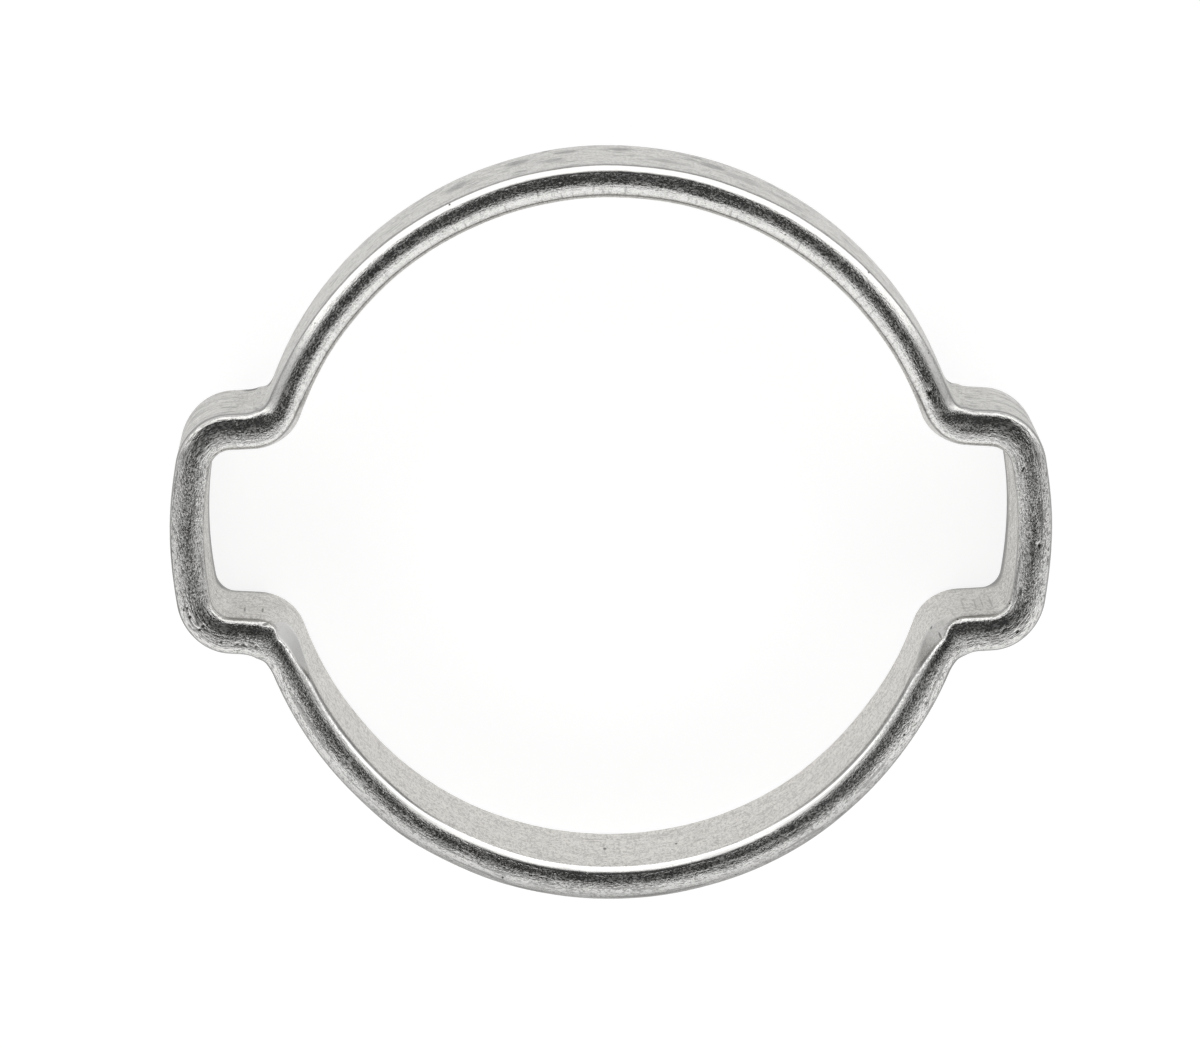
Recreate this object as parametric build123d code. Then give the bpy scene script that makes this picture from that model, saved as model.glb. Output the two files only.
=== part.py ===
from build123d import *
import math
import os

# Two-ear hose clamp, as supplied and not yet crimped: one closed band, cold-formed from a slice of
# seamless steel tube, so it has no joint, seam or second piece. Two half bands grip the hose. Between
# them the band steps out into two ears, and pincers squeeze each ear's legs together to shrink the bore.
#
# Frame, in millimetres: the bore runs along Z, the ears point along -X and +X, and the origin is the
# centre of the bore at the level of the rim that the clamp rests on.

BORE_RADIUS = 18.5        # inner face of each half band
HALF_BAND_OFFSET = 0.4    # an open clamp is slightly oval: each half band's centre lies off the bore's centre
WALL = 1.9                # thickness of the band
BAND_WIDTH = 10.0         # length of the tube slice, along the bore

EAR_DEPTH = 4.25          # from the bore's circle out to the inner face of the crown, mid-ear
EAR_GAP = 9.8             # between the inner faces of an ear's legs, where they leave the bore's circle
LEG_LEAN = 3.0            # degrees by which each leg leans towards the other on its way out
CROWN_RADIUS = 20.0       # bow of the crown, at its inner face
ROOT_RADIUS = 2.8         # bend from a half band out into a leg, at its inner face
CORNER_RADIUS = 1.2       # bend from a leg into the crown, at its inner face

RIM_RADIUS = 1.35         # each rim is tumbled round, across the band's thickness
BEVEL = 0.2               # each rim's inner edge is deburred at 45 degrees, by this much of the thickness
FACET_DEPTH = 0.95        # flat that the forming die leaves on a rim's inner edge at each root, at its widest
FACET_SLOPE = 45.0        # degrees between that flat and the bore's axis
FACET_SWEEP = 11.0        # radius of the die's edge: a larger one draws the flat farther along the band
FACET_ANGLE = 18.0        # degrees from the X axis to the middle of the flat, about the bore's centre

NODE = "clamp_band"
TOUCHING = 1e-5           # points nearer than this are one point


def ear_pocket():
    """Space inside the +X ear, run back into the bore: a wedge between the legs, closed by the crown."""
    reach = BORE_RADIUS + EAR_DEPTH
    root_x = math.sqrt(BORE_RADIUS**2 - (EAR_GAP / 2) ** 2)
    narrowing = math.tan(math.radians(LEG_LEAN))
    near_y = EAR_GAP / 2 + root_x * narrowing
    far_y = EAR_GAP / 2 - (reach - root_x) * narrowing
    wedge = Polyline((0, -near_y), (reach, -far_y), (reach, far_y), (0, near_y), close=True)
    crown = Pos(reach - CROWN_RADIUS, 0) * Circle(CROWN_RADIUS)
    return make_face(wedge) & crown


def is_corner(vertex):
    """Whether a vertex of the sharp opening is where a leg meets the crown: those lie well off the bore."""
    return math.hypot(vertex.X, vertex.Y) > BORE_RADIUS + EAR_DEPTH / 2


def is_root(vertex):
    """Whether a vertex of the opening is where a leg leaves a half band: those lie on its circle."""
    return abs(math.hypot(vertex.X, abs(vertex.Y) - HALF_BAND_OFFSET) - BORE_RADIUS) < TOUCHING


def opening():
    """All that the band encloses: the half bands' circles and the ears' pockets, with the bends rounded."""
    upper = Pos(0, HALF_BAND_OFFSET) * Circle(BORE_RADIUS)
    lower = Pos(0, -HALF_BAND_OFFSET) * Circle(BORE_RADIUS)
    pocket = ear_pocket()
    outline = upper + lower + pocket + mirror(pocket, about=Plane.YZ)
    outline = fillet(outline.vertices().filter_by(is_corner), CORNER_RADIUS)
    return fillet(outline.vertices().filter_by(is_root), ROOT_RADIUS)


def section():
    """The band cut across: X runs from the inner to the outer face, Y along the bore from mid-width."""
    def rim_height(x):
        """How high the round rim stands at x, above mid-width."""
        return BAND_WIDTH / 2 - RIM_RADIUS + math.sqrt(RIM_RADIUS**2 - (x - WALL / 2) ** 2)

    outer = rim_height(WALL)
    inner = rim_height(BEVEL)
    low = inner - BEVEL
    edges = [
        Line((0, -low), (0, low)),
        Line((0, low), (BEVEL, inner)),
        ThreePointArc((BEVEL, inner), (WALL / 2, BAND_WIDTH / 2), (WALL, outer)),
        Line((WALL, outer), (WALL, -outer)),
        ThreePointArc((WALL, -outer), (WALL / 2, -BAND_WIDTH / 2), (BEVEL, -inner)),
        Line((BEVEL, -inner), (0, -low)),
    ]
    return make_face(edges)


def formed_band():
    """The section carried once round the opening, standing with one rim at Z = 0."""
    path = opening().face().outer_wire()
    start = path @ 0
    along = path % 0
    outwards = along.cross(Vector(0, 0, 1))
    band = sweep(Plane(start, x_dir=outwards, z_dir=along) * section(), path=path)
    return Pos(0, 0, BAND_WIDTH / 2) * band


def facet_cutter():
    """Cone whose edge shaves the top rim by the +X +Y root: deepest there, and run out on both sides."""
    half_height = FACET_SWEEP / 2
    narrowing = half_height * math.tan(math.radians(FACET_SLOPE))
    cone = Cone(FACET_SWEEP - narrowing, FACET_SWEEP + narrowing, 2 * half_height)
    distance = BORE_RADIUS + FACET_DEPTH - FACET_SWEEP
    angle = math.radians(FACET_ANGLE)
    return Pos(distance * math.cos(angle), distance * math.sin(angle), BAND_WIDTH) * cone


def all_facet_cutters():
    """The same cutter at all four roots, on both rims."""
    cutters = [facet_cutter()]
    for plane in (Plane.YZ, Plane.XZ, Plane.XY.offset(BAND_WIDTH / 2)):
        cutters += [mirror(cutter, about=plane) for cutter in cutters]
    return cutters


def clamp_band():
    """The whole clamp, as one solid."""
    band = formed_band()
    for cutter in all_facet_cutters():
        band -= cutter
    return band


os.makedirs("parts", exist_ok=True)
export_step(clamp_band(), f"parts/{NODE}.step")
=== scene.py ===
"""A two-ear hose clamp of zinc-plated steel, lying on one rim on a pale lit table.

The clamp is one closed band. Its surface is a section carried once round an outline, in the frame of
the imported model: the bore runs along Z and the ears point along -X and +X. Lengths are in millimetres
until a mesh is made, and angles in radians.
"""

from __future__ import annotations

import logging
import math
from dataclasses import dataclass, field
from enum import Enum
from functools import reduce

import bpy
import numpy as np
from mathutils import Matrix, Vector

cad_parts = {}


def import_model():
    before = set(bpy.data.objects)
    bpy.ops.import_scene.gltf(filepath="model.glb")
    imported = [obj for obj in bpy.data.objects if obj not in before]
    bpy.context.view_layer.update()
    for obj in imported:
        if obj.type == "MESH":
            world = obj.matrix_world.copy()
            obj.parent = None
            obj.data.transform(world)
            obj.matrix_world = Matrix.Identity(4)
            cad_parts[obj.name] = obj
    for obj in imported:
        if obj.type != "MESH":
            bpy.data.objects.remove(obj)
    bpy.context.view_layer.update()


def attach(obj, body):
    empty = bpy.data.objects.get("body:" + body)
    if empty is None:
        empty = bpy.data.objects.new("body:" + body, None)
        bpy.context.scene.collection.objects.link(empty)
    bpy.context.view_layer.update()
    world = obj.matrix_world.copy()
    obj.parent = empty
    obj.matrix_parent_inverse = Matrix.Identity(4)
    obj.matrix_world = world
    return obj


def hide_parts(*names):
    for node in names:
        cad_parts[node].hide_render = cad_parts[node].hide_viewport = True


LOG = logging.getLogger("hose_clamp")

MM = 0.001
NODE = "clamp_band"
BODY = "root"
PICTURE_WIDTH = 1200

Colour = tuple[float, float, float]
# A ramp: where it starts, and how long it is.
Stretch = tuple[float, float]
# A size on the half bands, on the ears' legs and on their crowns.
ByPlace = tuple[float, float, float]
# A smooth step: the two bounds of what is read, and what is given under the first and over the second.
Step = tuple[float, float, float, float]

# How far off the middle, along X, the ears' own faces start.
EAR_START = 18.8
# Where along X a size turns from the half band's into the leg's, and then into the crown's.
EAR_FROM: Stretch = (17.5, 1.7)
CROWN_FROM: Stretch = (21.4, 1.2)
# The same along Y: slowly into the upper half band's, and quickly into the lower side's.
UPPER_FROM: Stretch = (-8.0, 16.0)
LOWER_FROM: Stretch = (1.0, -2.0)
# How far a mark on a face, and one on a rim, reaches into the metal.
FACE_MARK_REACH = 3.0
RIM_MARK_REACH = 1.0


class Side(Enum):
    """The faces that the band's section has, in the order that the section meets them."""

    INNER = 0
    RIM = 1
    OUTER = 2


# ---------------------------------------------------------------- outline, seen along the bore


@dataclass(frozen=True)
class Bend:
    """A circular stretch of the outline."""

    centre: np.ndarray
    radius: float
    start: float
    end: float
    wall_outside: bool

    def sample(self, count: int) -> tuple[np.ndarray, np.ndarray]:
        """Point = centre + radius * (cos a, sin a), for angles a evenly spaced from start towards end.

        Args:
            count: how many points; the end itself is left to the next stretch.

        Returns:
            The points, and the unit vectors that point from the opening into the wall.
        """
        angle = self.start + (self.end - self.start) * np.arange(count) / count
        ray = np.stack([np.cos(angle), np.sin(angle)], axis=1)
        return self.centre + self.radius * ray, ray if self.wall_outside else -ray


@dataclass(frozen=True)
class Straight:
    """A straight stretch of the outline."""

    start: np.ndarray
    end: np.ndarray
    into_wall: np.ndarray

    def sample(self, count: int) -> tuple[np.ndarray, np.ndarray]:
        """Point = start + t * (end - start), for values of t evenly spaced from 0 towards 1.

        Args:
            count: how many points; the end itself is left to the next stretch.

        Returns:
            The points, and the unit vectors that point from the opening into the wall.
        """
        share = (np.arange(count) / count)[:, None]
        points = self.start + share * (self.end - self.start)
        return points, np.repeat(self.into_wall[None, :], count, axis=0)


@dataclass(frozen=True)
class Outline:
    """The line that the band's inner face follows: two half bands and two ears."""

    bore_radius: float = 18.5
    half_band_offset: float = 0.4
    ear_depth: float = 4.25
    ear_gap: float = 9.8
    leg_lean: float = math.radians(3.0)
    crown_radius: float = 20.0
    root_radius: float = 2.8
    corner_radius: float = 1.2
    crown_steps: int = 34
    corner_steps: int = 26
    leg_steps: int = 18
    root_steps: int = 38
    half_band_steps: int = 136

    def bend_centre(self, centre: np.ndarray, reach: float, shift: float) -> np.ndarray:
        """Where a bend is centred: reach from another circle's centre, and shift above the leg's face.

        The leg's face is the line y = level + slope * x, so x is the larger root of
        (x - cx)^2 + (level + slope * x - cy)^2 = reach^2.

        Args:
            centre: the other circle's centre.
            reach: how far the two centres are apart.
            shift: distance from the leg's inner face, positive towards the wall.

        Returns:
            The centre.
        """
        slope = -math.tan(self.leg_lean)
        root_x = math.sqrt(self.bore_radius**2 - (self.ear_gap / 2) ** 2)
        level = self.ear_gap / 2 - slope * root_x + shift / math.cos(self.leg_lean)
        a = 1 + slope**2
        b = 2 * (slope * (level - centre[1]) - centre[0])
        c = centre[0] ** 2 + (level - centre[1]) ** 2 - reach**2
        x = (-b + math.sqrt(b * b - 4 * a * c)) / (2 * a)
        return np.array([x, level + slope * x])

    def quarter(self) -> list[tuple[Bend | Straight, int]]:
        """The outline from the middle of the +X ear's crown to the middle of the +Y half band.

        Returns:
            Each stretch, with the number of points that it gets.
        """
        band_centre = np.array([0.0, self.half_band_offset])
        crown_centre = np.array([self.bore_radius + self.ear_depth - self.crown_radius, 0.0])
        into_wall = np.array([math.sin(self.leg_lean), math.cos(self.leg_lean)])
        corner = self.bend_centre(crown_centre, self.crown_radius - self.corner_radius, -self.corner_radius)
        root = self.bend_centre(band_centre, self.bore_radius + self.root_radius, self.root_radius)
        crown_end = math.atan2(*(corner - crown_centre)[::-1])
        band_start = math.atan2(*(root - band_centre)[::-1])
        leg = math.pi / 2 - self.leg_lean
        leg_start = corner + self.corner_radius * into_wall
        leg_end = root - self.root_radius * into_wall
        return [
            (Bend(crown_centre, self.crown_radius, 0.0, crown_end, True), self.crown_steps),
            (Bend(corner, self.corner_radius, crown_end, leg, True), self.corner_steps),
            (Straight(leg_start, leg_end, into_wall), self.leg_steps),
            (Bend(root, self.root_radius, leg + math.pi, band_start + math.pi, False), self.root_steps),
            (Bend(band_centre, self.bore_radius, band_start, math.pi / 2, True), self.half_band_steps),
        ]

    def root(self) -> Bend:
        """The quarter's root: the one bend whose wall is inside it."""
        bends = [stretch for stretch, _ in self.quarter() if isinstance(stretch, Bend)]
        return next(bend for bend in bends if not bend.wall_outside)

    def trace(self) -> tuple[np.ndarray, np.ndarray]:
        """The whole outline, counter-clockwise from the +X ear: a quarter, mirrored into all four.

        Returns:
            The points, and the unit vectors that point from the opening into the wall.
        """
        samples = [stretch.sample(count) for stretch, count in self.quarter()]
        top = ([[0.0, self.bore_radius + self.half_band_offset]], [[0.0, 1.0]])
        loops = []
        for part in (0, 1):
            quarter = np.concatenate([sample[part] for sample in samples] + [top[part]])
            upper = np.concatenate([quarter, quarter[-2:0:-1] * [-1, 1]])
            loops.append(np.concatenate([upper, -upper]))
        return loops[0], loops[1]


# ---------------------------------------------------------------- section


@dataclass(frozen=True)
class Section:
    """The band cut across: u runs from the inner face to the outer one, and height from mid-width."""

    wall: float = 1.9
    width: float = 10.0
    land_slope: float = 0.73
    inner_steps: int = 12
    top_steps: int = 58
    outer_steps: int = 8
    under_steps: int = 18

    def crown(self, u: np.ndarray, radius: np.ndarray, lean: np.ndarray) -> np.ndarray:
        """Round rim: half the width - R + sqrt(R^2 - (u - wall / 2 - lean)^2)."""
        return self.width / 2 - radius + np.sqrt(radius**2 - (u - self.wall / 2 - lean) ** 2)

    def rounding(self, distance: np.ndarray, edge: np.ndarray) -> np.ndarray:
        """How far a quarter circle of radius edge lies below its top, by distance from the face."""
        inside = np.clip(edge - distance, 0, edge)
        return edge - np.sqrt(edge**2 - inside**2)

    def rim_height(self, u: np.ndarray, bevel: np.ndarray, steep: np.ndarray, arris: np.ndarray,
                   land: np.ndarray, lean: np.ndarray, radius: np.ndarray, edge: np.ndarray) -> np.ndarray:
        """The lower of the round crown and a bevel on its inner edge, with the edges rounded.

        A narrow land of slope land_slope lies between the two. Land and bevel meet in a soft minimum,
        (a + b - sqrt((a - b)^2 + arris^2)) / 2.

        Args:
            u: distance from the inner face.
            bevel: how far the bevel reaches across the wall.
            steep: the bevel's rise over its reach, 1 at 45 degrees.
            arris: how blunt the arris is between the two.
            land: how far the land reaches beyond the bevel.
            lean: how far the crown's top lies off the middle, towards the outer face.
            radius: the crown's radius.
            edge: the radius of the rounding at both faces.

        Returns:
            The height above mid-width.
        """
        crown = self.crown(u, radius, lean)
        beyond = u - bevel - land
        flat = self.crown(bevel + land, radius, lean) + self.land_slope * beyond
        crown = np.where(beyond > 0, crown, np.minimum(crown, flat))
        slope = self.crown(bevel, radius, lean) + steep * (u - bevel)
        lower = 0.5 * (crown + slope - np.sqrt((crown - slope) ** 2 + arris**2))
        return lower - self.rounding(u, edge) - self.rounding(self.wall - u, edge)

    def stations(self, steps: int) -> np.ndarray:
        """Values of u, closer together at both edges: wall * (t - 0.6 sin(2 pi t) / 2 pi)."""
        t = np.arange(steps) / (steps - 1)
        return self.wall * (t - 0.6 * np.sin(2 * np.pi * t) / (2 * np.pi))

    def carry(self, top_sizes: tuple[np.ndarray, ...],
              under_sizes: tuple[np.ndarray, ...]) -> tuple[np.ndarray, np.ndarray]:
        """The section at each point of the outline, once round: inner face, top rim, outer face, under rim.

        Args:
            top_sizes: rim_height's sizes for the top rim at each point of the outline, columns in its order.
            under_sizes: the same for the under rim.

        Returns:
            u and the height above mid-width, each with a row per point of the outline.
        """
        count = len(top_sizes[0])
        u_top = np.repeat(self.stations(self.top_steps)[None, :], count, axis=0)
        u_under = np.repeat(self.stations(self.under_steps)[None, :], count, axis=0)
        top = self.rim_height(u_top, *top_sizes)
        under = -self.rim_height(u_under, *under_sizes)
        rise = np.arange(1, self.inner_steps + 1) / (self.inner_steps + 1)
        fall = np.arange(1, self.outer_steps + 1) / (self.outer_steps + 1)
        inner = under[:, :1] + (top[:, :1] - under[:, :1]) * rise
        outer = top[:, -1:] + (under[:, -1:] - top[:, -1:]) * fall
        u = np.concatenate(
            [np.zeros_like(inner), u_top, np.full_like(outer, self.wall), u_under[:, ::-1]], axis=1)
        return u, np.concatenate([inner, top, outer, under[:, ::-1]], axis=1)

    def sides(self) -> np.ndarray:
        """Which side each point of the section is on, as Side values; both rims are RIM."""
        counts = (self.inner_steps, self.top_steps, self.outer_steps, self.under_steps)
        sides = (Side.INNER, Side.RIM, Side.OUTER, Side.RIM)
        return np.repeat([side.value for side in sides], counts)


# ---------------------------------------------------------------- unevenness and marks


@dataclass(frozen=True)
class Waves:
    """Gentle unevenness: a seeded sum of waves that closes on itself both along and round the band."""

    seed: int
    height: float
    along: tuple[int, int]
    round: tuple[int, int]
    count: int = 36

    def lift(self, along: np.ndarray, round_share: np.ndarray) -> np.ndarray:
        """Sum of a_k * cos(2 pi (m_k * along + n_k * round) + phase_k), scaled to the standard height.

        Args:
            along: share of the outline's length, a column.
            round_share: share of the way round the section, a row.

        Returns:
            The lift at each vertex.
        """
        random = np.random.default_rng(self.seed)
        m = random.integers(*self.along, self.count)
        n = random.integers(*self.round, self.count) * random.choice([-1, 1], self.count)
        phase = random.uniform(0, 2 * np.pi, self.count)
        size = random.uniform(0.5, 1.0, self.count) / np.sqrt(m)
        total = np.zeros(np.broadcast(along, round_share).shape)
        for k in range(self.count):
            total += size[k] * np.cos(2 * np.pi * (m[k] * along + n[k] * round_share) + phase[k])
        return self.height * total / total.std()


@dataclass(frozen=True)
class Mark:
    """A nick, dent, burr or smudge: a soft-edged ellipse on one side of the band.

    Its length lies along the band on the faces, and at the angle turn from X on the rims. A rim is sunk by
    depth, or raised where depth is negative.
    """

    side: Side
    x: float
    y: float
    level: float
    length: float
    breadth: float
    soil: float
    depth: float = 0.0
    turn: float = 0.0

    def heading(self) -> float:
        """The way that the mark's first axis points: along it on a rim, and through the wall on a face."""
        if self.side is Side.RIM:
            return self.turn
        return math.pi / 2 if abs(self.x) > EAR_START else math.atan2(self.y, self.x)

    def sizes(self) -> tuple[float, float, float]:
        """The mark's size along its three axes; it reaches well into the metal."""
        if self.side is Side.RIM:
            return self.length, self.breadth, RIM_MARK_REACH
        return FACE_MARK_REACH, self.length, self.breadth


@dataclass(frozen=True)
class Blows:
    """Small shallow dents that tumbling leaves all over both rims."""

    seed: int = 7
    count: int = 260
    least_size: float = 0.13
    most_size: float = 0.42
    least_depth: float = 0.002
    most_depth: float = 0.010

    def press(self, points: np.ndarray) -> np.ndarray:
        """Sum of depth * exp(-(distance / size)^2) over dents centred on vertices drawn at random.

        Args:
            points: the rims' vertices, one a row.

        Returns:
            How far each vertex is pressed in.
        """
        random = np.random.default_rng(self.seed)
        centres = points[random.integers(0, len(points), self.count)]
        sizes = random.uniform(self.least_size, self.most_size, self.count)
        depths = random.uniform(self.least_depth, self.most_depth, self.count)
        pressed = np.zeros(len(points))
        for centre, size, depth in zip(centres, sizes, depths):
            pressed += depth * np.exp(-((points - centre) ** 2).sum(axis=1) / size**2)
        return pressed


# ---------------------------------------------------------------- finishes


@dataclass(frozen=True)
class Pattern:
    """Cloudy noise that follows the band: its squeeze by axis, grains to a millimetre, and fineness."""

    squeeze: tuple[float, float, float]
    per_mm: float
    detail: float = 2.0
    rough: float = 0.5


class Board:
    """Lays out a node tree, and joins its nodes."""

    def __init__(self, tree: bpy.types.NodeTree) -> None:
        """Starts on an empty tree."""
        self.tree = tree
        tree.nodes.clear()

    def add(self, kind: str, inputs: dict | None = None, **settings: object) -> bpy.types.Node:
        """Adds a node.

        Args:
            kind: the node's type name.
            inputs: input name or number, to a socket to join or a plain value.
            settings: the node's own properties.

        Returns:
            The node.
        """
        node = self.tree.nodes.new(kind)
        for name, value in settings.items():
            setattr(node, name, value)
        for name, value in (inputs or {}).items():
            self.feed(node.inputs[name], value)
        return node

    def feed(self, socket: bpy.types.NodeSocket, value: object) -> None:
        """Joins a socket to another, or gives it a plain value."""
        if isinstance(value, bpy.types.NodeSocket):
            self.tree.links.new(value, socket)
        else:
            socket.default_value = value

    def math(self, operation: str, a: object, b: object = 0.0, c: object = 0.0) -> bpy.types.NodeSocket:
        """The result of one sum, such as ADD or MULTIPLY_ADD."""
        return self.add("ShaderNodeMath", {0: a, 1: b, 2: c}, operation=operation).outputs[0]

    def times(self, *values: object) -> bpy.types.NodeSocket:
        """The product of all the values."""
        return reduce(lambda a, b: self.math("MULTIPLY", a, b), values)

    def plus(self, *values: object) -> bpy.types.NodeSocket:
        """The sum of all the values."""
        return reduce(lambda a, b: self.math("ADD", a, b), values)

    def most(self, *values: object) -> bpy.types.NodeSocket:
        """The greatest of the values."""
        return reduce(lambda a, b: self.math("MAXIMUM", a, b), values)

    def less(self, value: object, taken: object) -> bpy.types.NodeSocket:
        """A value less another."""
        return self.math("SUBTRACT", value, taken)

    def line(self, value: object, slope: object, start: object) -> bpy.types.NodeSocket:
        """A straight line, slope * value + start."""
        return self.math("MULTIPLY_ADD", value, slope, start)

    def spread(self, value: object, low: float, high: float, to_low: float,
               to_high: float) -> bpy.types.NodeSocket:
        """A smooth step: to_low where value is under low, and to_high where it is over high."""
        inputs = {"Value": value, "From Min": low, "From Max": high, "To Min": to_low, "To Max": to_high}
        return self.add("ShaderNodeMapRange", inputs, interpolation_type="SMOOTHSTEP").outputs[0]

    def noise(self, vector: object, pattern: Pattern) -> bpy.types.NodeSocket:
        """Cloudy noise from 0 to 1, about 0.5, in the way that the pattern says."""
        place = self.add("ShaderNodeMapping", {"Vector": vector, "Scale": pattern.squeeze}).outputs[0]
        return self.add("ShaderNodeTexNoise", {"Vector": place, "Scale": pattern.per_mm, "Detail":
                        pattern.detail, "Roughness": pattern.rough}).outputs[0]

    def blend(self, share: object, plain: object, other: object) -> bpy.types.NodeSocket:
        """A colour between plain and other."""
        node = self.add("ShaderNodeMix", {0: share, 6: plain, 7: other}, data_type="RGBA")
        return node.outputs[2]

    def attribute(self, name: str, output: str) -> bpy.types.NodeSocket:
        """One of the mesh's own attributes."""
        return self.add("ShaderNodeAttribute", attribute_name=name).outputs[output]


@dataclass(frozen=True)
class ZincFinish:
    """Bright zinc plate on steel that was drawn as a tube, cut, tumbled and bent.

    A field named by_wear holds a straight line's slope and start. One named for a mark holds how ragged
    such a mark is, and where it starts to fade and is gone, in its own sizes. Heights are in millimetres.
    """

    colour: Colour = (0.69, 0.685, 0.67)
    inner_colour: Colour = (0.735, 0.72, 0.69)
    outer_colour: Colour = (0.60, 0.592, 0.57)
    # Painted shade on the roots' facets.
    facet_painted_shade_colour: Colour = (0.58, 0.577, 0.568)
    # Painted shade for the dark lines and darker bands by the edges.
    edge_painted_shade_colour: Colour = (0.22, 0.218, 0.213)
    # Painted highlight along the bevel's arris.
    painted_glint_colour: Colour = (0.97, 0.965, 0.955)
    soil_colour: Colour = (0.08, 0.079, 0.075)

    rim_roughness: float = 0.11
    inner_roughness: float = 0.46
    outer_roughness: float = 0.36
    worn_roughness: float = 0.02
    uneven_roughness: float = 0.35
    least_roughness: float = 0.09
    most_roughness: float = 0.7
    facet_gloss: float = 0.7

    grain: Pattern = Pattern((0.5, 0.5, 1.0), 14.0, 3.0, 0.6)
    pebble: Pattern = Pattern((0.5, 0.5, 1.0), 7.0)
    frost: Pattern = Pattern((0.32, 0.32, 1.0), 15.4, 3.0, 0.65)
    shear: Pattern = Pattern((1.0, 1.0, 0.25), 7.0)
    draw: Pattern = Pattern((0.5, 0.5, 1.0), 2.0, 4.0, 0.68)
    ridge: Pattern = Pattern((1.0, 1.0, 0.2), 8.0, 3.0, 0.6)
    groove: Pattern = Pattern((0.06, 0.06, 1.0), 4.5)
    streak: Pattern = Pattern((0.14, 0.14, 1.0), 8.0, 4.0, 0.62)
    mottle: Pattern = Pattern((0.42, 0.42, 1.0), 2.6, 5.0, 0.62)
    blotch: Pattern = Pattern((0.25, 0.25, 1.0), 0.9, 3.0)

    grain_height: float = 0.027
    pebble_height: float = 0.009
    streak_height: float = 0.018
    shear_height: float = 0.030
    pit_depth: float = 0.03
    calming: float = 0.9
    pits_per_mm: float = 2.3
    pit_size_spread: Step = (0.80, 1.0, 0.0, 0.17)
    pit_here_spread: Step = (0.80, 0.83, 0.0, 1.0)
    pit_wall_spread: Step = (-0.07, 0.0, 1.0, 0.0)

    smudge_spread: Step = (0.86, 1.08, 0.0, 0.45)
    speck_spread: Step = (0.56, 0.60, 0.0, 1.0)
    tick_spread: Step = (0.62, 0.67, 0.0, 0.40)
    line_spread: Step = (0.50, 0.64, 0.0, 0.6)
    dust_spread: Step = (0.50, 0.62, 0.0, 0.3)
    groove_spread: Step = (0.60, 0.63, 0.0, 0.55)
    frost_spread: Step = (0.51, 0.55, 0.0, 0.24)
    face_mark: tuple[float, float, float] = (2.4, 1.7, 2.2)
    rim_mark: tuple[float, float, float] = (0.8, 1.0, 1.6)

    relief_by_wear: tuple[float, float] = (0.6, 0.5)
    smudge_by_wear: tuple[float, float] = (0.45, 0.25)
    speck_by_wear: tuple[float, float] = (0.42, 0.32)
    speck_gain: float = 0.03
    blotch_share: float = 0.6
    speck_mottling: float = 0.25
    frost_mottling: float = 0.20

    def material(self) -> bpy.types.Material:
        """Makes the plate.

        Returns:
            The material.
        """
        plate = bpy.data.materials.new("zinc_plate")
        plate.use_nodes = True
        nodes = ZincNodes(self, plate.node_tree)
        skin = nodes.board.add("ShaderNodeBsdfPrincipled", {
            "Base Color": nodes.tint(), "Metallic": 1.0, "Roughness": nodes.roughness(),
            "Normal": nodes.relief()})
        nodes.board.add("ShaderNodeOutputMaterial", {"Surface": skin.outputs[0]})
        return plate


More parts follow.
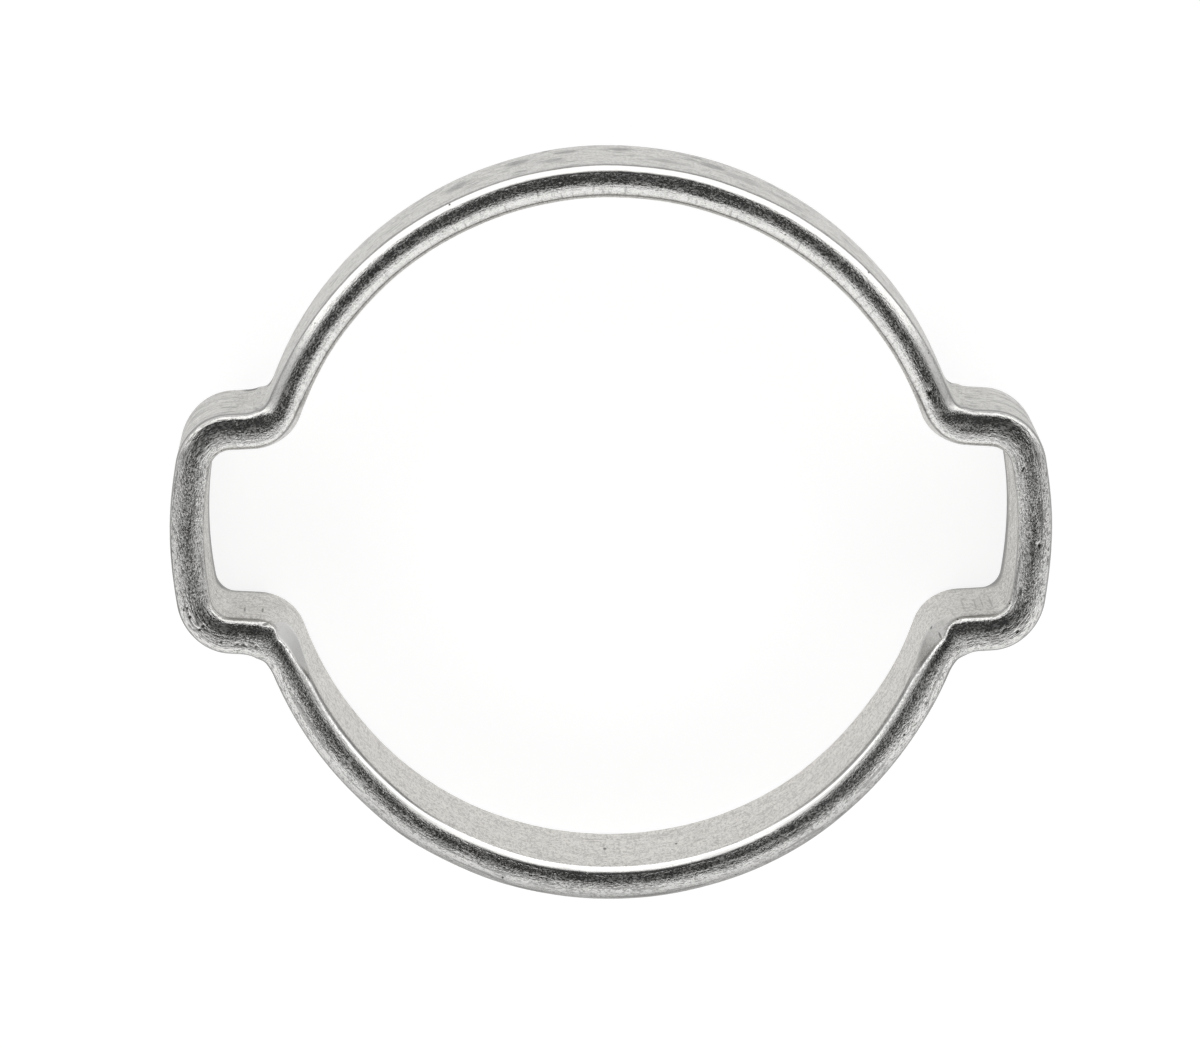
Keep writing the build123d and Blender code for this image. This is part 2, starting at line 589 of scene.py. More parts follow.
class ZincNodes:
    """The zinc plate's nodes: what the mesh says of each place, and what is worked out from it."""

    def __init__(self, finish: ZincFinish, tree: bpy.types.NodeTree) -> None:
        """Reads the band's attributes and lays the patterns on them."""
        self.finish = finish
        self.board = board = Board(tree)
        self.lay = board.attribute("lay", "Vector")
        sides = board.add("ShaderNodeSeparateXYZ", {0: board.attribute("zone", "Vector")}).outputs
        self.inner, self.rim, self.outer = sides[0], sides[1], sides[2]
        # edge and facet carry painted shade, and glint a painted highlight.
        self.wear, self.edge, self.facet, self.glint, self.scrape, burnish = (
            board.attribute(name, "Fac") for name in ("wear", "edge", "facet", "glint", "scrape", "burnish"))
        self.grain, self.shear = board.noise(self.lay, finish.grain), board.noise(self.lay, finish.shear)
        self.draw = board.noise(self.lay, finish.draw)
        self.mottling = board.less(board.noise(self.lay, finish.mottle), 0.5)
        calm = board.most(self.edge, self.facet, board.times(burnish, self.rim))
        self.lively = board.less(1.0, board.times(calm, finish.calming))
        self.pits = self.pitted()

    def pitted(self) -> bpy.types.NodeSocket:
        """1 where the plate is pitted, and 0 elsewhere: a round pit in the middle of each lucky cell."""
        board, finish = self.board, self.finish
        cells = board.add("ShaderNodeTexVoronoi", {
            "Vector": self.lay, "Scale": finish.pits_per_mm, "Randomness": 1.0}).outputs
        luck = board.add("ShaderNodeSeparateColor", {0: cells["Color"]}).outputs[0]
        size = board.spread(luck, *finish.pit_size_spread)
        inside = board.spread(board.less(cells["Distance"], size), *finish.pit_wall_spread)
        return board.times(inside, board.spread(luck, *finish.pit_here_spread))

    def relief(self) -> bpy.types.NodeSocket:
        """The normal, from grain and pebbles, streaks along the band, scrapes across it, and pits."""
        board, finish = self.board, self.finish
        pebble, streak = board.noise(self.lay, finish.pebble), board.noise(self.lay, finish.streak)
        share = board.line(self.wear, *finish.relief_by_wear)
        fine = board.times(board.less(self.grain, 0.5), finish.grain_height, share)
        coarse = board.times(board.less(pebble, 0.5), finish.pebble_height, share)
        along = board.times(board.less(streak, 0.5), finish.streak_height)
        across = board.times(board.less(self.shear, 0.5), self.scrape, finish.shear_height)
        height = board.times(board.plus(fine, coarse, along, across), self.lively)
        height = board.line(self.pits, -finish.pit_depth, height)
        return board.add("ShaderNodeBump", {"Strength": 1.0, "Distance": MM, "Height": height}).outputs[0]

    def tint(self) -> bpy.types.NodeSocket:
        """The colour: by side, then painted shade on the facets and edges and a painted highlight along
        the arris, then darkened where it is soiled.
        """
        board, finish = self.board, self.finish
        blotch, groove = board.noise(self.lay, finish.blotch), board.noise(self.lay, finish.groove)
        smudge = board.plus(self.mottling, 0.5, board.times(blotch, finish.blotch_share))
        smudge = board.times(board.spread(smudge, *finish.smudge_spread),
                             board.line(self.wear, *finish.smudge_by_wear))
        frost = board.plus(board.times(self.mottling, finish.speck_mottling),
                           board.noise(self.lay, finish.frost))
        speck = board.spread(board.line(self.wear, finish.speck_gain, frost), *finish.speck_spread)
        speck = board.times(speck, board.line(self.wear, *finish.speck_by_wear), self.lively)
        tick = board.times(board.spread(self.shear, *finish.tick_spread), self.scrape, self.rim)
        line = board.times(board.spread(self.draw, *finish.line_spread), self.outer)
        dust = board.spread(board.noise(self.lay, finish.ridge), *finish.dust_spread)
        dust = board.times(dust, board.less(1.0, board.most(self.rim, self.facet)))
        groove = board.times(board.spread(groove, *finish.groove_spread), self.wear, self.wear, self.rim)
        dark = board.most(smudge, speck, tick, line, dust, groove, self.soil(), self.pits)
        tint = (*finish.colour, 1.0)
        # The facet and edge colours are painted shade, and the glint colour a painted highlight.
        for share, colour in ((self.inner, finish.inner_colour), (self.outer, finish.outer_colour),
                              (self.facet, finish.facet_painted_shade_colour), (self.edge, finish.edge_painted_shade_colour),
                              (self.glint, finish.painted_glint_colour), (dark, finish.soil_colour)):
            tint = board.blend(share, tint, (*colour, 1.0))
        return tint

    def roughness(self) -> bpy.types.NodeSocket:
        """The roughness: by side, uneven, with frosted patches, and glossier on the facets."""
        board, finish = self.board, self.finish
        rough = board.plus(
            board.times(self.inner, finish.inner_roughness), board.times(self.outer, finish.outer_roughness),
            board.times(self.rim, finish.rim_roughness), board.times(self.wear, finish.worn_roughness),
            board.times(self.mottling, self.lively, finish.uneven_roughness))
        frosted = board.line(self.mottling, finish.frost_mottling, self.grain)
        rough = board.plus(rough, board.times(board.spread(frosted, *finish.frost_spread), self.lively))
        rough = board.times(rough, board.line(self.facet, -finish.facet_gloss, 1.0))
        return board.math("MINIMUM", board.most(rough, finish.least_roughness), finish.most_roughness)

    def soil(self) -> bpy.types.NodeSocket:
        """How dark the place is for its marks, each an ellipse that the draw marks break up."""
        board = self.board
        spot = board.add("ShaderNodeTexCoord").outputs["Object"]
        total = 0.0
        for mark in marks():
            if not mark.soil:
                continue
            ragged, full, gone = self.finish.rim_mark if mark.side is Side.RIM else self.finish.face_mark
            here = board.add("ShaderNodeMapping", {
                "Vector": spot, "Location": Vector((mark.x, mark.y, mark.level)) * MM,
                "Rotation": (0.0, 0.0, mark.heading()), "Scale": Vector(mark.sizes()) * MM},
                vector_type="TEXTURE").outputs[0]
            reach = board.add("ShaderNodeVectorMath", {0: here}, operation="LENGTH").outputs["Value"]
            reach = board.line(self.draw, ragged, reach)
            total = board.most(total, board.spread(reach, full, gone, mark.soil, 0.0))
        return total


@dataclass(frozen=True)
class TableFinish:
    """An opal lit table: mostly its own glow, so that shadows on it stay soft and light."""

    colour: Colour = (0.32, 0.32, 0.32)
    glow: float = 0.82

    def material(self) -> bpy.types.Material:
        """Makes the table top.

        Returns:
            The material.
        """
        top = bpy.data.materials.new("table_top")
        top.use_nodes = True
        board = Board(top.node_tree)
        skin = board.add("ShaderNodeBsdfPrincipled", {
            "Base Color": (*self.colour, 1.0), "Roughness": 0.9, "Specular IOR Level": 0.1,
            "Emission Color": (1.0, 1.0, 1.0, 1.0), "Emission Strength": self.glow})
        board.add("ShaderNodeOutputMaterial", {"Surface": skin.outputs[0]})
        return top


# ---------------------------------------------------------------- the clamp


def marks() -> tuple[Mark, ...]:
    """The marks that show, each given one by one.

    Returns:
        The marks, as x, y, level, length, breadth, soil, and on the rims depth and turn.
    """
    root_dents = (
        (18.03, -5.57, 9.1, 0.26, 0.07, 1.0, 0.06, 1.25), (18.45, -5.95, 9.6, 0.2, 0.06, 0.7, 0.06, 2.0),
        (19.54, -5.22, 10.0, 0.16, 0.1, 0.0, -0.02, 0.0),
        (18.6, -5.4, 10.0, 0.12, 0.16, 0.0, -0.04, 0.3))
    right_specks = (
        (17.8, 7.86, 10.0, 0.16, 0.1, 1.0, 0.07, 0.6), (23.05, 3.55, 10.0, 0.17, 0.08, 1.0, 0.06, 1.2),
        (23.94, -0.8, 9.8, 0.14, 0.1, 1.0, 0.05, 1.4), (22.95, -3.4, 10.0, 0.3, 0.08, 0.9, 0.04, 1.5),
        (22.07, -5.53, 10.0, 0.16, 0.08, 1.0, 0.04, 0.6), (22.76, -5.68, 9.9, 0.14, 0.09, 1.0, 0.05, 0.9),
        (16.44, -11.53, 9.8, 0.1, 0.08, 1.0, 0.05, 0.9), (17.66, -9.74, 9.8, 0.13, 0.09, 0.8, 0.05, 1.1))
    left_specks = (
        (-19.38, -5.1, 10.0, 0.2, 0.09, 0.8, 0.06, 0.2), (-18.99, -4.93, 10.0, 0.18, 0.08, 0.9, 0.05, 0.1),
        (-23.35, 6.23, 10.0, 0.22, 0.1, 0.0, -0.03, 0.9),
        (-23.72, -4.15, 9.9, 0.11, 0.08, 1.0, 0.05, 1.3), (-23.57, -4.65, 9.9, 0.12, 0.09, 1.0, 0.05, 1.3),
        (-22.86, -5.17, 10.0, 0.14, 0.11, 1.0, 0.05, 0.6),
        (-23.12, -5.1, 10.0, 0.14, 0.1, 0.0, -0.04, 0.6),
        (-23.04, -5.36, 9.9, 0.14, 0.08, 1.0, 0.05, 0.2), (-21.84, -6.03, 9.8, 0.1, 0.07, 0.9, 0.04, 0.4),
        (-20.93, -6.18, 9.8, 0.12, 0.07, 0.9, 0.04, 0.1), (-20.6, -6.22, 9.8, 0.09, 0.07, 0.9, 0.04, 0.0),
        (-19.89, -6.33, 9.7, 0.11, 0.08, 0.9, 0.04, 0.3))
    drawing_smudges = (
        (-8.6, 18.9, 4.2, 1.0, 1.6, 0.6), (-5.17, 20.1, 3.2, 0.85, 1.3, 0.65),
        (-3.2, 20.5, 5.6, 0.8, 0.9, 0.6), (-2.37, 20.6, 2.6, 0.75, 0.9, 0.6),
        (0.6, 20.8, 2.4, 0.95, 0.9, 0.65), (3.2, 20.6, 6.2, 1.4, 0.8, 0.45),
        (5.9, 20.1, 3.6, 1.0, 1.3, 0.65), (7.6, 19.6, 5.0, 1.5, 1.4, 0.45),
        (9.9, 18.4, 5.6, 1.7, 0.9, 0.45), (-20.35, 6.77, 0.8, 0.55, 0.6, 1.0),
        (-19.19, 7.04, 1.0, 0.25, 0.6, 0.95), (19.38, 6.85, 0.9, 0.25, 0.6, 0.95))
    bore_scratches = (
        (-0.31, -18.57, 5.0, 0.1, 0.4, 0.9), (3.67, -18.3, 5.3, 0.09, 0.35, 0.9),
        (-19.6, -4.9, 6.6, 0.06, 1.0, 0.7), (-20.6, -4.9, 6.8, 0.06, 1.1, 0.7),
        (21.5, -4.8, 6.0, 0.07, 2.2, 0.45), (21.0, -4.8, 5.6, 0.06, 2.2, 0.45),
        (20.6, -4.85, 6.2, 0.06, 2.0, 0.45), (19.9, -4.9, 6.4, 0.06, 1.8, 0.4))
    sides = (
        (Side.RIM, root_dents + right_specks + left_specks), (Side.OUTER, drawing_smudges),
        (Side.INNER, bore_scratches))
    return tuple(Mark(side, *sizes) for side, group in sides for sizes in group)


@dataclass(frozen=True)
class Facet:
    """The steep flat that the forming die leaves by one root, on the top rim's inner edge.

    Angles are from the X axis, about the bore's centre. The flat starts sharply between start and full.
    It narrows into the bevel between narrowing and end, and gets shallower from shallowing to shallow.
    """

    right: bool
    upper: bool
    reach: float = 0.50
    drop: float = 2.3
    # How glossy the flat is, and how much painted shade darkens it.
    gloss_and_shade: float = 1.0
    start: float = math.radians(14.6)
    full: float = math.radians(17.0)
    narrowing: float = math.radians(19.0)
    end: float = math.radians(28.0)
    shallowing: float = math.radians(15.5)
    shallow: float = math.radians(27.0)

    def share(self, points: np.ndarray) -> tuple[np.ndarray, np.ndarray]:
        """How much of the flat is there at each point of the outline.

        Args:
            points: the outline.

        Returns:
            The share of its reach and the share of its drop, each from 0 to 1.
        """
        x, y = points[:, :1], points[:, 1:]
        angle = np.arctan2(np.abs(y), np.abs(x))
        here = ((x > 0) == self.right) & ((y > 0) == self.upper)
        rise = here * ramp(angle, self.start, self.full - self.start)
        narrow = ramp(angle, self.end, self.narrowing - self.end)
        return rise * narrow, rise * ramp(angle, self.shallow, self.shallowing - self.shallow)


@dataclass(frozen=True)
class ClampBand:
    """The whole clamp as it is supplied, before its ears are crimped.

    Sizes that change along the band are columns, with a row for each point of the outline.
    """

    outline: Outline = field(default_factory=Outline)
    section: Section = field(default_factory=Section)

    bevel: float = 0.2
    lower_bevel: float = 0.17
    foot_bevel: float = 0.0935
    lower_bevel_fading: Stretch = (15.2, -8.0)
    ear_bevel: float = 0.06
    facets: tuple[Facet, ...] = (
        Facet(False, False),
        Facet(False, True, 0.28, 0.7, 0.2, math.radians(11.0), math.radians(20.0), math.radians(22.0)),
        Facet(True, True, 0.28, 0.7, 0.2, math.radians(11.0), math.radians(20.0), math.radians(22.0)),
        Facet(True, False, 0.62, 1.5, 0.5, math.radians(13.6), math.radians(17.6), math.radians(18.5)))

    upper_fillet: float = 1.5
    lower_fillet: float = 2.0
    upper_wall: float = 1.91
    lower_wall: float = 1.94
    upper_shift: float = -0.07
    lower_shift: float = -0.01
    foot_shift: float = 0.11
    foot_from: Stretch = (-11.5, -5.0)
    leg_wall: float = 2.10
    crown_wall: float = 1.94
    leg_from: Stretch = (16.8, 2.8)

    rim_radii: ByPlace = (1.28, 2.4, 1.6)
    edges: ByPlace = (0.07, 0.35, 0.15)
    arris: float = 0.03
    facet_arris: float = 0.12
    land: float = 0.08
    lean: float = 0.2

    rise: Waves = Waves(3, 0.008, (4, 40), (0, 3))
    rise_margin: float = 0.75
    rise_fading: float = 0.5
    push: Waves = Waves(5, 0.012, (3, 30), (0, 3))
    blows: Blows = field(default_factory=Blows)
    strike_height: float = 3.0

    finish: ZincFinish = field(default_factory=ZincFinish)

    def bevels(self, points: np.ndarray) -> tuple[np.ndarray, ...]:
        """The top rim's inner bevel at each point of the outline: narrow, and opened by the facets.

        Args:
            points: the outline.

        Returns:
            How far it reaches across the wall without the facets and with them, its rise over its reach,
            the shares of a facet's reach and drop there, and how glossy the facet is and how much painted
            shade it gets.
        """
        fading = ramp(np.abs(points[:, :1]), *self.lower_bevel_fading)
        lower = self.lower_bevel + (self.foot_bevel - self.lower_bevel) * fading
        half_band = lower + (self.bevel - lower) * upper_share(points)
        plain = along(points, half_band, self.ear_bevel, self.ear_bevel)
        reach = drop = plain
        opened = sunk = facet_gloss_and_shade = np.zeros_like(plain)
        for facet in self.facets:
            wide, deep = facet.share(points)
            reach, drop = reach + (facet.reach - reach) * wide, drop + (facet.drop - drop) * deep
            opened, sunk, facet_gloss_and_shade = opened + wide, sunk + deep, facet_gloss_and_shade + wide * facet.gloss_and_shade
        return plain, reach, drop / reach, opened, sunk, facet_gloss_and_shade

    def walls(self, points: np.ndarray) -> np.ndarray:
        """The wall at each point of the outline: thinnest on the upper half band, thickest at the roots.

        Args:
            points: the outline.

        Returns:
            The wall there. At each root it swells until the outer face has the fillet's radius.
        """
        upper, off_middle = upper_share(points), np.abs(points[:, :1])
        half_band = self.lower_wall + (self.upper_wall - self.lower_wall) * upper
        fillet = self.lower_fillet + (self.upper_fillet - self.lower_fillet) * upper
        wall = half_band + (self.leg_wall - half_band) * ramp(off_middle, *self.leg_from)
        wall = wall + (self.crown_wall - wall) * ramp(off_middle, *CROWN_FROM)
        return wall + self.swelling(points, fillet)

    def swelling(self, points: np.ndarray, fillet: np.ndarray) -> np.ndarray:
        """How much wall a root needs for its outer face to bend with the fillet's radius f.

        The root's own outer radius is r, and it turns by 2 h. Within the bend, at an angle t off its middle,
        the wall grows by r + k cos t - sqrt(f^2 - (k sin t)^2), where k = (f - r) / cos h. Beyond the bend,
        at a distance s, it grows by f - sqrt(f^2 - ((f - r) tan h - s)^2).

        Args:
            points: the outline.
            fillet: the radius wanted at each of them.

        Returns:
            The growth at each point.
        """
        bend = self.outline.root()
        own = bend.radius - self.section.wall
        middle, half = (bend.start + bend.end) / 2, abs(bend.end - bend.start) / 2
        offset = np.abs(points) - bend.centre
        turned = np.arctan2(offset[:, 1:], offset[:, :1]) - middle
        turned = np.abs((turned + np.pi) % (2 * np.pi) - np.pi)
        reach = (fillet - own) / math.cos(half)
        swing = np.minimum(turned, half)
        within = own + reach * np.cos(swing) - np.sqrt(fillet**2 - (reach * np.sin(swing)) ** 2)
        beyond = np.hypot(offset[:, :1], offset[:, 1:]) * np.sin(np.clip(turned - half, 0.0, np.pi / 2))
        short = np.clip((fillet - own) * math.tan(half) - beyond, 0.0, None)
        return np.where(turned <= half, within, fillet - np.sqrt(fillet**2 - short**2))

    def shifts(self, points: np.ndarray) -> np.ndarray:
        """How far the inner face lies off the outline, towards the outer face: most at the lower foot."""
        shift = self.lower_shift + (self.upper_shift - self.lower_shift) * upper_share(points)
        return along(points, shift + self.foot_shift * ramp(points[:, 1:], *self.foot_from), 0.0, 0.0)

    def build(self) -> bpy.types.Object:
        """Makes the band's mesh, with its marks, and dresses it.

        Vertex = outline point + across * (vector into the wall), raised to mid-width + height, where
        across = u * (the wall there) / (the section's wall) + the shift there.

        Returns:
            The finished object.
        """
        points, into_wall = self.outline.trace()
        step = np.linalg.norm(np.roll(points, -1, axis=0) - points, axis=1)
        length = step.sum()
        way = (np.concatenate([[0.0], np.cumsum(step)[:-1]]) / length)[:, None]
        plain, bevel, steep, opened, sunk, facet_gloss_and_shade = self.bevels(points)
        formed = opened * lower_side(points)
        arris = self.arris + (self.facet_arris - self.arris) * np.sqrt(opened)
        radius, edge = along(points, *self.rim_radii), along(points, *self.edges)
        u, height = self.section.carry(
            (bevel, steep, arris, self.land * formed, self.lean * formed, radius, edge),
            (plain, 1.0, self.arris, 0.0, 0.0, radius, edge))
        on_rim = self.section.sides() == Side.RIM.value
        across = u * self.walls(points) / self.section.wall + self.shifts(points)

        hop = np.hypot(np.diff(u, axis=1, append=u[:, :1]), np.diff(height, axis=1, append=height[:, :1]))
        round_length = np.concatenate([[0.0], np.cumsum(hop.mean(axis=0))])
        round_share = (round_length[:-1] / round_length[-1])[None, :]
        rise, push = self.rise.lift(way, round_share), self.push.lift(way, round_share)
        near_rim = ramp(np.abs(height), self.section.width / 2 - self.rise_margin, self.rise_fading)
        height = height + rise * near_rim * np.sign(height)

        plan = points[:, None, :] + into_wall[:, None, :] * (across + push)[:, :, None]
        place = np.concatenate([plan, (height + self.section.width / 2)[:, :, None]], axis=2)
        pressed = np.zeros(height.shape)
        pressed[:, on_rim] = self.blows.press(place[:, on_rim].reshape(-1, 3)).reshape(len(points), -1)
        place[:, :, 2] -= pressed * np.sign(height)
        self.strike(place, on_rim)
        place[:, :, 2] = np.clip(place[:, :, 2], 0.0, self.section.width)

        mesh = grid_mesh("band", place * MM)
        handling = Handling(points, into_wall, u, place[:, :, 2], (height > 0) & on_rim[None, :], height,
                            bevel, opened, sunk, facet_gloss_and_shade, self.section)
        for name, values in handling.shares().items():
            vertex_data(mesh, name, values)
        turn = 2 * np.pi * way * np.ones((1, len(round_length)))
        corner_data(mesh, "lay", np.stack([
            length / (2 * np.pi) * np.cos(turn), length / (2 * np.pi) * np.sin(turn),
            np.ones((len(points), 1)) * round_length[None, :]], axis=2))
        mesh.materials.append(self.finish.material())
        return place_in_scene("formed_band", mesh)

    def strike(self, place: np.ndarray, on_rim: np.ndarray) -> None:
        """Sinks or raises every mark on the top rim, in place.

        A mark is exp(-(a / length)^2 - (b / breadth)^2), where a and b are measured in plan along its own
        two axes.

        Args:
            place: the band's vertices, changed here.
            on_rim: whether each point of the section is on a rim.
        """
        for mark in marks():
            if mark.side is not Side.RIM:
                continue
            offset = place - np.array([mark.x, mark.y, mark.level])
            here = on_rim[None, :] & (np.abs(offset[:, :, 2]) < self.strike_height)
            c, s = math.cos(mark.turn), math.sin(mark.turn)
            a, b = offset[:, :, 0] * c + offset[:, :, 1] * s, offset[:, :, 1] * c - offset[:, :, 0] * s
            shape = here * np.exp(-((a / mark.length) ** 2) - (b / mark.breadth) ** 2)
            place[:, :, 2] -= mark.depth * shape


@dataclass(frozen=True)
class Handling:
    """How the band was cut and rubbed, and where painted shade and a painted highlight go, as shares from 0
    to 1 at every vertex.

    Rows are points of the outline and columns are points of the section. u is the distance from the
    inner face, top marks the top rim, and height is off mid-width. The bevel, and the shares of a facet,
    its drop and its gloss and painted shade, are columns.
    """

    points: np.ndarray
    into_wall: np.ndarray
    u: np.ndarray
    level: np.ndarray
    top: np.ndarray
    height: np.ndarray
    bevel: np.ndarray
    opened: np.ndarray
    sunk: np.ndarray
    facet_gloss_and_shade: np.ndarray
    section: Section

    rim_margin: float = 0.55
    rim_fading: float = 0.25

    wear: ByPlace = (0.0, 0.25, 1.0)
    lower_wear: float = 0.55
    outer_wear: float = 0.35
    lower_wear_from: Stretch = (0.0, -6.0)
    outer_wear_from: Stretch = (0.72, 0.2)

    least_scrape: float = 0.35
    scrape_from: Stretch = (0.95, -0.3)
    upper_scrape_from: Stretch = (0.0, 10.0)

    slope_rub: float = 0.3
    slope_from: Stretch = (0.0, 0.4)
    rub_start: ByPlace = (0.42, 0.76, 0.76)
    rub_length: float = 0.12

    facet_margin: float = 0.10
    facet_fading: float = -0.12

    # Painted highlight along the bevel's arris on the lower half.
    glint: float = 0.75
    right_glint_loss: float = 0.35
    right_from: Stretch = (5.0, 7.0)
    glint_offset: float = 0.05
    glint_width: float = 0.03
    glint_widening: float = 0.04

    # Painted shade: dark lines along the arris and the outer edge, and darker bevel faces and a band beyond.
    flank_from: Stretch = (7.5, 4.0)
    arris_line: float = 0.8
    arris_offset: float = 0.03
    arris_width: float = 0.04
    upper_face: float = 0.2
    sunk_loss: float = 0.85
    face_from: Stretch = (0.03, -0.06)
    beyond: float = 0.42
    beyond_until: Stretch = (19.0, -0.8)
    beyond_from: Stretch = (0.10, 0.04)
    beyond_to: Stretch = (0.6, -0.25)
    outer_line: float = 0.9
    outer_from: Stretch = (-0.12, 0.06)

    # Darker outer slopes by the upper roots, and painted shade towards -Y at the edge.
    root_darkening: float = 0.55
    root_from: Stretch = (15.0, 1.6)
    root_until: Stretch = (17.8, -0.5)
    root_slope_from: Stretch = (1.1, 0.3)
    foot_painted_shade: float = 0.6
    foot_from: Stretch = (-9.0, -7.0)
    foot_slope_from: Stretch = (1.0, 0.9)

    # Painted shade at the foot of the ears' inner faces.
    ear_foot: ByPlace = (0.0, 1.6, 2.9)
    ear_foot_fading: float = -1.2
    inner_face_until: Stretch = (0.5, -0.2)
    ear_foot_from: Stretch = (EAR_START, 1.2)
    ear_foot_until: Stretch = (4.6, -0.8)

    def shares(self) -> dict[str, np.ndarray]:
        """What the finish reads from the mesh, by name."""
        sides = self.sides()
        painted_edge_shade = self.painted_edge_shade() * np.maximum(sides[:, :, 1], self.top * self.opened)
        darker_places = np.maximum(self.darker_places() * sides[:, :, 1], self.painted_foot_shade())
        # The edge share is painted shade, and the glint share a painted highlight.
        return {"zone": sides, "wear": self.worn(), "scrape": self.scraped(), "burnish": self.burnished(),
                "facet": self.faceted(), "glint": self.glinting(), "edge": np.maximum(painted_edge_shade, darker_places)}

    def sides(self) -> np.ndarray:
        """The shares of the inner face, the rim and the outer face, as a vector."""
        rim = ramp(np.abs(self.height), self.section.width / 2 - self.rim_margin, self.rim_fading)
        inside = self.u < self.section.wall / 2
        return np.stack([(1 - rim) * inside, rim, (1 - rim) * ~inside], axis=2)

    def worn(self) -> np.ndarray:
        """How pebbled the plate is: all over the crowns, and most of the lower half band."""
        across = self.lower_wear + self.outer_wear * ramp(self.u, *self.outer_wear_from)
        lower = ramp(self.points[:, 1:], *self.lower_wear_from) * across
        return np.maximum(along(self.points, *self.wear), lower)

    def scraped(self) -> np.ndarray:
        """How far the cut scraped across: the rims' inner half, and most on the upper half band."""
        upper = ramp(self.points[:, 1:], *self.upper_scrape_from)
        return ramp(self.u, *self.scrape_from) * (self.least_scrape + (1 - self.least_scrape) * upper)

    def burnished(self) -> np.ndarray:
        """How smooth the rims were rubbed: their slopes that face +Y, and less so their middle."""
        half = self.section.wall / 2
        slope = (self.u - half) / half * self.into_wall[:, 1:]
        steep = ramp(slope, along(self.points, *self.rub_start), self.rub_length)
        return self.slope_rub * ramp(slope, *self.slope_from) + (1 - self.slope_rub) * steep

    def faceted(self) -> np.ndarray:
        """The roots' facets and their arrises, less on the brighter facets: there the plate is glossier, and
        tinted darker as painted shade.
        """
        return self.top * np.sqrt(self.facet_gloss_and_shade) * ramp(self.u, self.bevel + self.facet_margin, self.facet_fading)

    def glinting(self) -> np.ndarray:
        """A painted highlight: the bright line along the bevel's arris on the lower half, widest where a
        facet opens it.
        """
        half_band = self.glint - self.right_glint_loss * ramp(self.points[:, :1], *self.right_from)
        share = np.maximum(self.opened, along(self.points, half_band, 0.0, 0.0)) * lower_side(self.points)
        off = self.u - self.bevel - self.glint_offset
        return self.top * np.exp(-((off / (self.glint_width + self.glint_widening * share**2)) ** 2)) * share

    def painted_edge_shade(self) -> np.ndarray:
        """Painted shade: dark lines along the bevel and the outer edge, and on the lower half a darker bevel
        and a band beyond it.
        """
        off_middle, lower = np.abs(self.points[:, :1]), lower_side(self.points)
        past_bevel = self.u - self.bevel
        flank = lower * ramp(off_middle, *self.flank_from)
        arris = np.exp(-(((past_bevel + self.arris_offset) / self.arris_width) ** 2))
        arris = self.arris_line * arris * (1 - lower)
        face = self.upper_face * (1 - lower) * (1 - self.opened) + flank * (1 - self.sunk_loss * self.sunk)
        face = face * ramp(past_bevel, *self.face_from)
        beyond = self.beyond * flank * ramp(off_middle, *self.beyond_until)
        beyond = beyond * ramp(past_bevel, *self.beyond_from) * ramp(past_bevel, *self.beyond_to)
        outer = self.outer_line * ramp(self.u - self.section.wall, *self.outer_from)
        return np.maximum(np.maximum(arris, face), np.maximum(beyond, outer))

    def darker_places(self) -> np.ndarray:
        """The darker part of the rims' outer slope: by the upper roots, and towards -Y at the edge, where it
        is painted shade for a dark reflection.
        """
        x, y = np.abs(self.points[:, :1]), self.points[:, 1:]
        root = self.root_darkening * ramp(x, *self.root_from) * ramp(x, *self.root_until) * (y > 0)
        root = root * ramp(self.u, *self.root_slope_from)
        foot = self.foot_painted_shade * ramp(y, *self.foot_from) * ramp(self.u, *self.foot_slope_from)
        return np.maximum(root, foot)

    def painted_foot_shade(self) -> np.ndarray:
        """Painted shade at the foot of the ears' inner faces, highest on the crowns."""
        x, y = np.abs(self.points[:, :1]), self.points[:, 1:]
        low = ramp(self.level, along(self.points, *self.ear_foot), self.ear_foot_fading)
        low = low * ramp(self.u, *self.inner_face_until)
        return low * ramp(x, *self.ear_foot_from) * ramp(y, *self.ear_foot_until)


def ramp(values: np.ndarray, start: object, length: float) -> np.ndarray:
    """3 t^2 - 2 t^3, where t goes from 0 at start to 1 at start + length, and is held beyond them."""
    t = np.clip((values - start) / length, 0.0, 1.0)
    return t * t * (3 - 2 * t)


def upper_share(points: np.ndarray) -> np.ndarray:
    """How far each point belongs to the upper half band, as 0 to 1: it changes slowly across the ears."""
    return ramp(points[:, 1:], *UPPER_FROM)


def lower_side(points: np.ndarray) -> np.ndarray:
    """Whether each point is below the ears' middle, as 0 to 1: it changes within 2 mm."""
    return ramp(points[:, 1:], *LOWER_FROM)


def along(points: np.ndarray, half_band: object, leg: float, crown: float) -> np.ndarray:
    """A size that changes smoothly along each root and corner: half band to leg to crown.

    Args:
        points: the outline.
        half_band: the size on the half bands, or its values at each point.
        leg: the size on the ears' legs.
        crown: the size on the ears' crowns.

    Returns:
        The size at each point, as a column.
    """
    off_middle = np.abs(points[:, :1])
    on_ear, on_crown = ramp(off_middle, *EAR_FROM), ramp(off_middle, *CROWN_FROM)
    return half_band + (leg + (crown - leg) * on_crown - half_band) * on_ear


